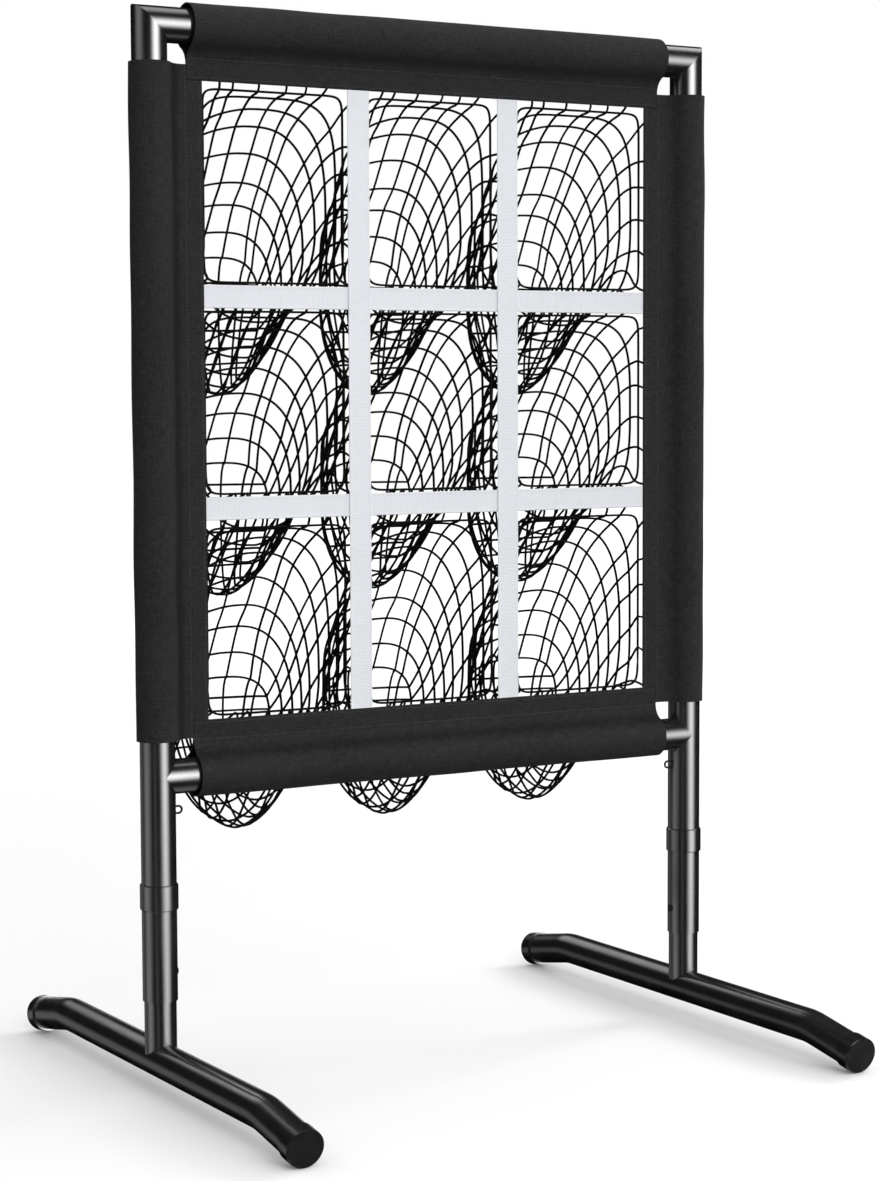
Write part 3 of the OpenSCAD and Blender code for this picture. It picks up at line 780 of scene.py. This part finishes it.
def sleeve_plans(sizes):
    """The two side sleeves and the two bar sleeves."""
    side_span = tuple(corner.z for corner in node_box("left_sleeve"))
    bar_span = tuple(corner.x for corner in node_box("top_sleeve"))
    side_widths = ((BAR_Z + sizes.bottom_band, sizes.side_end),
                   (TOP_Z - sizes.top_band, sizes.side_band), (FULL_LENGTH, sizes.side_end))
    for (side, sign), fold in zip(SIDES.items(), (LEFT_FOLD_SHADE, RIGHT_FOLD_SHADE)):
        yield SleevePlan(f"{side}_cloth", f"{side}_sleeve", side_span, sizes.side_radius,
                         sizes.side_seam, fold, side_widths,
                         lambda p, q, s, sign=sign: Vector((sign * (LEG_X - p), q, s)))
    yield SleevePlan("top_cloth", "top_sleeve", bar_span, sizes.top_radius, sizes.top_seam,
                     TOP_FOLD_SHADE, ((FULL_LENGTH, sizes.top_band),),
                     lambda p, q, s: Vector((s, q, TOP_Z - p)))
    yield SleevePlan("bottom_cloth", "bottom_sleeve", bar_span, sizes.bottom_radius,
                     sizes.bottom_seam, BOTTOM_FOLD_SHADE, ((FULL_LENGTH, sizes.bottom_band),),
                     lambda p, q, s: Vector((s, q, BAR_Z + p)))


class TARGETNET_OT_sleeves(bpy.types.Operator):
    """Make the four cloth sleeves and their rows of stitches"""
    bl_idname = "targetnet.sleeves"
    bl_label = "Sleeves"

    def execute(self, context):
        sizes = context.scene.net_cloth
        rows = []
        for number, plan in enumerate(sleeve_plans(sizes)):
            obj, girth = sleeve_object(plan, sizes, SLEEVE_SEED + number)
            settle(obj, BODY, "cloth", plan.node)
            low, high = plan.span
            run = high - low - 2 * ROW_STOP
            steps = [low + ROW_STOP + run * k / ROW_STEPS for k in range(ROW_STEPS + 1)]
            wide = [s for s in steps if plan.width_at(s) > sizes.side_end + 0.001]
            for face in (-1, 1):
                seam, lift = plan.seam_height(sizes, face), face * (sizes.band_half + ROW_LIFT)
                rows.append([plan.place(plan.seam, seam, s) for s in steps])
                rows.append([plan.place(plan.width_at(s) - ROW_INSET, lift, s) for s in wide])
        seams = grow("cloth_stitches", rows, stitch_tree(),
                     {**STITCH, "Thread": named("sewing thread")})
        settle(seams, BODY, "cloth")
        return {"FINISHED"}


# ---- straps ----

STRAP_STEPS = 90
STRAP_SHARP = math.radians(60)
# A strap's border as (way in from the edge, share of half the thickness)
STRAP_BORDER = ((0.0, 0.0), (0.0003, 0.75), (0.0008, 1.0), (0.0016, 1.0), (0.0021, 0.8))


def strap_object(name, width, thick, length, place):
    """Webbing with rounded edges and thin raised borders; place turns (along, across, out)."""
    half, t = width / 2, thick / 2
    front = [(-half + way, t * share) for way, share in STRAP_BORDER]
    front += [(x * (half - 0.004) / 3, t * 0.8) for x in range(-3, 4)]
    front += [(-x, q) for x, q in reversed(front[:len(STRAP_BORDER)])]
    loop = front + [(x, -q) for x, q in reversed(front[1:-1])]
    stations = [length * k / STRAP_STEPS for k in range(STRAP_STEPS + 1)]
    n = len(loop)
    points = [place(s, x, q) for s in stations for x, q in loop]
    uv_points = [(s, x) for s in stations for x, _ in loop]
    faces = []
    for k in range(STRAP_STEPS):
        faces += band(k * n, (k + 1) * n, n)
    faces += [tuple(range(k * n, (k + 1) * n)) for k in (0, STRAP_STEPS)]
    uvs = [[uv_points[k] for k in face] for face in faces]
    obj = mesh_object(name, points, faces, uvs, material="white webbing")
    finish_mesh(obj, STRAP_SHARP)
    return obj


class TARGETNET_OT_straps(bpy.types.Operator):
    """Make the four webbing straps"""
    bl_idname = "targetnet.straps"
    bl_label = "Straps"

    def execute(self, context):
        sizes = context.scene.net_straps
        for node in ("left_strap", "right_strap", "upper_strap", "lower_strap"):
            low, high = node_box(node)
            mid, span = (low + high) / 2, high - low
            if span.z > span.x:
                width, length = span.x, span.z

                def place(s, x, q, low=low, mid=mid):
                    return Vector((mid.x + x, mid.y + q, low.z + s))
            else:
                width, length = span.z, span.x

                def place(s, x, q, low=low, mid=mid):
                    return Vector((low.x + s, mid.y + q, mid.z + x))
            obj = strap_object(node + "_webbing", width, sizes.thick, length, place)
            settle(obj, BODY, "webbing", node)
        return {"FINISHED"}


# ---- nets ----

RINGS = 9
RING_POINTS = 180
RING_WANDER = 0.0007
RING_STEP = 0.007
STRAND_STEP = 0.006
BACK_STEPS = 12
MOUTH_EDGE = 0.003
MIDDLE_LEAN = -0.005
CORD_SIDES = 6
# The tables hold one number for each ring, from front to back. The pockets hang to the left, so
# their sides differ, and in the top row the right side is slimmer.
# Half width as a share of half the opening's
RING_WIDTH = {"right": (0.97, 0.978, 0.951, 0.91, 0.882, 0.87, 0.843, 0.79, 0.713),
              "left": (0.97, 0.985, 0.985, 0.985, 0.985, 0.985, 0.965, 0.85, 0.725)}
RING_WIDTH_TOP = (0.97, 0.978, 0.945, 0.895, 0.83, 0.775, 0.73, 0.69, 0.61)
# Squareness above the widest level; the left side eases to the apex towards the top
RING_CROWN = {"right": (16.0, 4.0, 3.0, 2.6, 2.4, 2.5, 2.5, 2.6, 3.0),
              "left": (16.0, 5.0, 5.0, 5.5, 5.5, 5.5, 5.5, 5.0, 4.5)}
RING_APEX = 2.4
# Squareness below it, for the upper rows (False) and the bottom row (True)
RING_KEEL = {False: {"right": (14.0, 3.2, 2.0, 1.65, 1.57, 1.57, 1.57, 1.6, 1.7),
                     "left": (14.0, 4.0, 2.6, 2.5, 2.5, 2.5, 2.4, 2.2, 2.0)},
             True: {"right": (14.0, 3.2, 2.0, 1.85, 1.75, 1.75, 1.8, 1.9, 1.9),
                    "left": (14.0, 3.2, 2.0, 1.75, 1.6, 1.6, 1.65, 1.9, 2.0)}}
# The widest level as a share of the way up the ring
RING_WAIST = (0.5, 0.5, 0.5, 0.49, 0.5, 0.5, 0.53, 0.577, 0.61)
# Height of the ring's top as a share of the opening's height, for the rows from the top down
RING_TOP = ((0.968, 0.948, 0.9, 0.82, 0.69, 0.547, 0.437, 0.30, 0.172),
            (0.985, 0.957, 0.9, 0.805, 0.69, 0.55, 0.44, 0.30, 0.16),
            (0.958, 0.943, 0.895, 0.812, 0.682, 0.529, 0.41, 0.265, 0.125))
# How far the ring hangs below the opening, for the upper rows (False) and the bottom row (True)
RING_HANG = {False: (-0.003, 0.0186, 0.0384, 0.057, 0.077, 0.096, 0.11, 0.117, 0.117),
             True: (-0.003, 0.048, 0.0795, 0.103, 0.125, 0.1377, 0.142, 0.137, 0.1193)}
# Where the lengthwise strands cross each ring, as shares of the way from its top to its bottom
STRANDS = {
    "roof_1": (-.178, -.178, -.18, -.18, -.18, -.185, -.198, -.225, -.28),
    "roof_2": (-.135, -.132, -.13, -.13, -.13, -.132, -.143, -.165, -.21),
    "roof_3": (-.05, -.051, -.053, -.055, -.058, -.062, -.067, -.08, -.11),
    "roof_4": (.042, .038, .033, .03, .027, .022, .016, .02, .034),
    "roof_5": (.108, .105, .103, .1, .101, .098, .107, .128, .175),
    "roof_6": (.166, .163, .155, .147, .145, .143, .154, .176, .23),
}
SIDE_STRANDS = {
    "corner": (.266, .27, .267, .261, .251, .245, .266, .282, .314),
    "side_1": (.371, .341, .33, .324, .312, .311, .329, .35, .385),
    "side_2": (.453, .418, .404, .405, .394, .398, .412, .43, .462),
    "side_3": (.558, .53, .523, .519, .503, .505, .515, .53, .56),
    "side_4": (.659, .638, .63, .63, .62, .62, .625, .635, .655),
    "keel": (.775, .706, .69, .715, .73, .735, .735, .735, .745),
}
# Where they start round the mouth: along its top and bottom edges, and up its sides
ROOF_MOUTH = {"roof_1": -.745, "roof_2": -.56, "roof_3": -.205, "roof_4": .175, "roof_5": .45,
              "roof_6": .757}
SIDE_MOUTH = {"corner": .921, "side_1": .714, "side_2": .571, "side_3": .39, "side_4": .204,
              "keel": .01}
# Where the roof strands come back along the floor, from the outermost in
FLOOR_SHARE = (.86, .9, .963)


class Pocket:
    """One hanging net, worked out ring by ring."""

    def __init__(self, sizes, cell, row, lean, seed):
        left, right, self.low, self.high = cell
        self.sizes = sizes
        self.half, self.mid = (right - left) / 2, (right + left) / 2
        self.tall = self.high - self.low
        bottom_row = row == 2
        rng = random.Random(seed)
        self.rings = []
        for k in range(RINGS):
            depth = sizes.first_ring + sizes.ring_pitch * k
            top = self.low + self.tall * RING_TOP[row][k]
            floor = self.low - RING_HANG[bottom_row][k]
            level = floor + (top - floor) * RING_WAIST[k]
            centre = Vector((self.mid + lean * (0.5 + 0.5 * k / (RINGS - 1)), depth, level))
            waves = [(n, rng.uniform(0, math.tau), rng.uniform(0.2, 1.0) / n) for n in (2, 3, 4, 5)]
            loop = []
            for i in range(RING_POINTS):
                a = math.tau * i / RING_POINTS
                s, c = math.sin(a), math.cos(a)
                side = "right" if s >= 0 else "left"
                widths = RING_WIDTH_TOP if row == 0 and s >= 0 else RING_WIDTH[side]
                wide = self.half * widths[k]
                crest = (RING_CROWN if c >= 0 else RING_KEEL[bottom_row])[side][k]
                if k > 1 and c > 0 > s:
                    crest += (RING_APEX - crest) * c * c
                rise = (top - level) if c >= 0 else (level - floor)
                x = wide * math.copysign(abs(s) ** (2 / crest), s)
                z = rise * math.copysign(abs(c) ** (2 / crest), c)
                wander = sum(w * math.sin(n * a + p) for n, p, w in waves) * RING_WANDER
                loop.append(centre + Vector((x * (1 + wander / wide), wander, z)))
            arcs = [0.0]
            for p, q in zip(loop, loop[1:] + loop[:1]):
                arcs.append(arcs[-1] + (q - p).length)
            self.rings.append((loop, arcs, centre))

    def crossing(self, ring, share):
        """Point on a ring; shares run from 0 at the top to 1 at the bottom, right side positive."""
        loop, arcs, _ = self.rings[ring]
        total, half_way = arcs[-1], arcs[RING_POINTS // 2]
        want = share * half_way if share >= 0 else total + share * (total - half_way)
        low, high = 0, RING_POINTS
        while high - low > 1:
            mid = (low + high) // 2
            low, high = (mid, high) if arcs[mid] <= want else (low, mid)
        t = (want - arcs[low]) / max(arcs[low + 1] - arcs[low], 1e-9)
        return loop[low].lerp(loop[(low + 1) % RING_POINTS], t)

    def behind(self, x, z):
        """Depth of the bulging back at a place inside the last ring."""
        loop, _, centre = self.rings[-1]
        angle = math.atan2(x - centre.x, z - centre.z)
        rim = min(loop, key=lambda p: abs(math.remainder(
            math.atan2(p.x - centre.x, p.z - centre.z) - angle, math.tau)))
        reach = math.hypot(x - centre.x, z - centre.z)
        reach /= max(math.hypot(rim.x - centre.x, rim.z - centre.z), 1e-6)
        return centre.y + self.sizes.back * math.sqrt(max(0.0, 1 - min(reach, 1.0) ** 2.6))

    def across_back(self, a, b):
        """Points over the back from one crossing of the last ring to another."""
        out = []
        for k in range(1, BACK_STEPS):
            p = a.lerp(b, 0.5 - 0.5 * math.cos(math.pi * k / BACK_STEPS))
            out.append(Vector((p.x, self.behind(p.x, p.z), p.z)))
        return out

    def mouth(self, name, sign):
        """Where a strand starts: roof strands above (1) or below (-1), the others at each side."""
        if name in ROOF_MOUTH:
            x = self.mid + self.half * ROOF_MOUTH[name]
            z = self.high + MOUTH_EDGE if sign > 0 else self.low - MOUTH_EDGE
            return Vector((x, MOUTH_EDGE, z))
        return Vector((self.mid + sign * (self.half + MOUTH_EDGE), MOUTH_EDGE,
                       self.low + self.tall * SIDE_MOUTH[name]))

    def strands(self):
        """Every lengthwise strand and every ring as a smooth path, and the crossings."""
        lines, knots = [], []

        def strand(first, going, coming, last):
            back = self.across_back(going[-1], coming[-1])
            path = [first] + going + back + coming[::-1] + [last]
            lines.append(catmull(path, STRAND_STEP))
            knots.extend(going + coming)

        returns = [-share for share in FLOOR_SHARE] + list(reversed(FLOOR_SHARE))
        for (name, shares), floor in zip(STRANDS.items(), returns):
            over = [self.crossing(k, shares[k]) for k in range(RINGS)]
            under = [self.crossing(k, floor) for k in range(RINGS)]
            strand(self.mouth(name, 1), over, under, self.mouth(name, -1))
        for name, shares in SIDE_STRANDS.items():
            one = [self.crossing(k, -shares[k]) for k in range(RINGS)]
            two = [self.crossing(k, shares[k]) for k in range(RINGS)]
            strand(self.mouth(name, -1), one, two, self.mouth(name, 1))
        for loop, *_ in self.rings:
            ring = loop[::2]
            lines.append(catmull(ring + ring[:1], RING_STEP))
        return lines, knots


def cells():
    """Edges of the nine openings, row by row from the top."""
    left, right = node_box("left_strap"), node_box("right_strap")
    upper, lower = node_box("upper_strap"), node_box("lower_strap")
    columns = (("left", upper[0].x, left[0].x), ("middle", left[1].x, right[0].x),
               ("right", right[1].x, upper[1].x))
    rows = (("top", upper[1].z, left[1].z), ("middle", lower[1].z, upper[0].z),
            ("bottom", left[0].z, lower[0].z))
    for r, (row, low, high) in enumerate(rows):
        for c, (column, x0, x1) in enumerate(columns):
            node = "pocket_middle" if row == column == "middle" else f"pocket_{row}_{column}"
            yield node, r, c, (x0, x1, low, high)


class TARGETNET_OT_pockets(bpy.types.Operator):
    """Knot the nine net pockets"""
    bl_idname = "targetnet.pockets"
    bl_label = "Net Pockets"

    def execute(self, context):
        sizes = context.scene.net_pockets
        group = cord_tree()
        values = {"Cord Radius": sizes.cord / 2, "Sides": CORD_SIDES,
                  "Knot Radius": sizes.knot / 2, "Cord": named("net cord")}
        for node, row, column, cell in cells():
            lean = MIDDLE_LEAN if column == 1 else 0.0
            pocket = Pocket(sizes, cell, row, lean, sizes.seed * 100 + row * 3 + column)
            lines, knots = pocket.strands()
            obj = grow(node.replace("pocket", "net"), lines, group, values, knots)
            settle(obj, BODY, "net", node)
        return {"FINISHED"}


# ---- stage ----

FLOOR_Z = -0.0004
FLOOR_REACH = 12.0
FLOOR_GREY = (0.72, 0.72, 0.72, 1)
# The floor's own glow near the net and far from it, and the distances where it changes
GLOW_NEAR, GLOW_FAR = 0.06, 0.4
GLOW_FROM, GLOW_TO = 1.0, 6.0
# Camera: lens and sensor in millimetres, place, and yaw, pitch and roll in degrees
LENS, SENSOR = 81.0, 36
CAMERA_AT = (-1.53052, -2.59181, 0.75957)
CAMERA_TURN = (30.662, -4.341, -0.224)
WHITE = (1, 1, 1, 1)


def seen_by(tree, *kinds):
    """One for rays of any of these kinds, such as Camera."""
    path = tree.node("ShaderNodeLightPath")
    first, *others = (Value(tree, path.outputs[f"Is {kind} Ray"]) for kind in kinds)
    for other in others:
        first = first.highest(other)
    return first


def studio_world(looks):
    """White to the camera, a soft room for matt surfaces, and panels for gloss."""
    world = bpy.data.worlds.new("studio")
    bpy.context.scene.world = world
    world.use_nodes = True
    world.node_tree.nodes.clear()
    tree = Tree(world.node_tree)
    coords = tree.node("ShaderNodeTexCoord").outputs["Generated"]
    split = tree.node("ShaderNodeSeparateXYZ", {}, {0: coords})
    x, y, z = (Value(tree, socket) for socket in split.outputs)
    degrees = 180 / math.pi
    azimuth = x.math("ARCTAN2", y * -1.0) * degrees
    turned = azimuth.math("WRAP", 360.0, 0.0)
    height = z.math("ARCSINE") * degrees
    # Panels as (azimuth, its low, high and soft edge, the same for the height, radiance)
    panels = (
        (azimuth + height * 0.33, (0, 37, 19), (-10, 29, 20), looks.panel),
        (azimuth - height * 0.4, (-116, -75, 19), (-60, 60, 15), looks.side),
        (azimuth, (-52, -34, 8), (-30, -4, 5), 0.75),
        (turned, (165, 199, 9), (26, 46, 5), 2.6),
        (turned, (184, 224, 10), (-22, -4, 5), 0.5),
        (turned, (60, 145, 18), (56, 80, 7), 3.5),
        (turned, (124, 175, 5), (-2, 5, 2), 1.0),
        (turned, (80, 122, 8), (42, 55, 4), 5.5),
    )
    gloss = height.ramp(-50, -66) * 1.2
    for across, spread, rise, radiance in panels:
        gloss = gloss + across.between(*spread) * height.between(*rise) * radiance
    room = (x * 0.33 + z * 0.75 + looks.room).highest(0.0)
    white, glossy = seen_by(tree, "Camera", "Transmission"), seen_by(tree, "Glossy")
    strength = white + (1.0 - white) * (glossy * gloss + (1.0 - glossy) * room)
    light = tree.node("ShaderNodeBackground", {}, {"Color": WHITE, "Strength": strength})
    tree.node("ShaderNodeOutputWorld", {}, {"Surface": light.outputs[0]})


def floor_finish():
    """Pale floor that reads white where nothing shades it."""
    material = bpy.data.materials.new("pale floor")
    material.use_nodes = True
    material.node_tree.nodes.clear()
    tree = Tree(material.node_tree)
    coords = tree.node("ShaderNodeTexCoord").outputs["Object"]
    away = tree.node("ShaderNodeVectorMath", {"operation": "LENGTH"}, {0: coords}).outputs["Value"]
    glow = Value(tree, away).ramp(GLOW_FROM, GLOW_TO, GLOW_NEAR, GLOW_FAR)
    glow = seen_by(tree, "Camera", "Glossy", "Transmission") * glow
    matt = tree.node("ShaderNodeBsdfDiffuse", {}, {"Color": FLOOR_GREY})
    light = tree.node("ShaderNodeEmission", {}, {"Color": WHITE, "Strength": glow})
    both = tree.node("ShaderNodeAddShader", {}, {0: matt.outputs[0], 1: light.outputs[0]})
    tree.node("ShaderNodeOutputMaterial", {}, {"Surface": both.outputs[0]})


def area_light(name, place, target, size, energy):
    data = bpy.data.lights.new(name, "AREA")
    data.shape = "SQUARE"
    data.size = size
    data.energy = energy
    lamp = bpy.data.objects.new(name, data)
    bpy.context.scene.collection.objects.link(lamp)
    lamp.location = place
    aim = Vector(target) - Vector(place)
    lamp.rotation_euler = aim.to_track_quat("-Z", "Y").to_euler()
    lamp.visible_glossy = False


def place_camera(scene):
    yaw, pitch, roll = (math.radians(v) for v in CAMERA_TURN)
    ahead = Vector((math.cos(pitch) * math.sin(yaw), math.cos(pitch) * math.cos(yaw),
                    math.sin(pitch)))
    right = Vector((math.cos(yaw), -math.sin(yaw), 0))
    up = right.cross(ahead)
    side = math.cos(roll) * right + math.sin(roll) * up
    over = -math.sin(roll) * right + math.cos(roll) * up
    data = bpy.data.cameras.new("camera")
    data.sensor_fit = "AUTO"
    data.sensor_width = SENSOR
    data.lens = LENS
    data.clip_end = 60
    camera = bpy.data.objects.new("camera", data)
    scene.collection.objects.link(camera)
    matrix = Matrix((side, over, -ahead)).transposed().to_4x4()
    matrix.translation = Vector(CAMERA_AT)
    camera.matrix_world = matrix
    scene.camera = camera


class TARGETNET_OT_stage(bpy.types.Operator):
    """Set up the camera, floor, room and lamps"""
    bl_idname = "targetnet.stage"
    bl_label = "Stage"

    def execute(self, context):
        looks = context.scene.net_studio
        context.scene.view_settings.view_transform = "Standard"
        place_camera(context.scene)
        studio_world(looks)
        floor_finish()
        # Each half of the floor goes down with its leg, so that each foot keeps its ground
        for side, sign in SIDES.items():
            x0, x1 = sorted((0.0, sign * FLOOR_REACH))
            corners = [(x0, -FLOOR_REACH, FLOOR_Z), (x1, -FLOOR_REACH, FLOOR_Z),
                       (x1, FLOOR_REACH, FLOOR_Z), (x0, FLOOR_REACH, FLOOR_Z)]
            floor = mesh_object(f"{side}_floor", corners, [(0, 1, 2, 3)], material="pale floor")
            floor.visible_glossy = False
            floor.visible_diffuse = False
            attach(floor, f"{side}_leg")
        area_light("front lamp", (-0.65, -3.7, 1.97), (0, 0, 0.6), 2.2, looks.front)
        area_light("right lamp", (2.89, 0.25, 1.8), (0, 0, 0.4), 1.0, looks.right)
        return {"FINISHED"}


class TARGETNET_PT_panel(bpy.types.Panel):
    """Lists the steps that make the net and their sizes"""
    bl_label = "Target Net"
    bl_idname = "TARGETNET_PT_panel"
    bl_space_type = "VIEW_3D"
    bl_region_type = "UI"
    bl_category = "Target Net"

    def draw(self, context):
        layout = self.layout
        for step in STEPS:
            layout.operator(step.bl_idname)
        for label, group in GROUPS.items():
            box = layout.box()
            box.label(text=group.__doc__)
            for name in group.__annotations__:
                box.prop(getattr(context.scene, label), name)


STEPS = (TARGETNET_OT_stage, TARGETNET_OT_finishes, TARGETNET_OT_feet, TARGETNET_OT_sleeves,
         TARGETNET_OT_straps, TARGETNET_OT_pockets)
GROUPS = {"net_feet": FootSizes, "net_cloth": ClothSizes, "net_straps": StrapSizes,
          "net_pockets": NetSizes, "net_steel": SteelLooks, "net_studio": StudioLooks}


def register():
    for item in (*GROUPS.values(), *STEPS, TARGETNET_PT_panel):
        bpy.utils.register_class(item)
    for label, group in GROUPS.items():
        setattr(bpy.types.Scene, label, bpy.props.PointerProperty(type=group))


def unregister():
    for label in GROUPS:
        delattr(bpy.types.Scene, label)
    for item in reversed((*GROUPS.values(), *STEPS, TARGETNET_PT_panel)):
        bpy.utils.unregister_class(item)


def main():
    register()
    bpy.ops.targetnet.stage()
    bpy.ops.targetnet.finishes()
    bpy.ops.targetnet.feet()
    bpy.ops.targetnet.sleeves()
    bpy.ops.targetnet.straps()
    bpy.ops.targetnet.pockets()


if __name__ == "__main__":
    main()
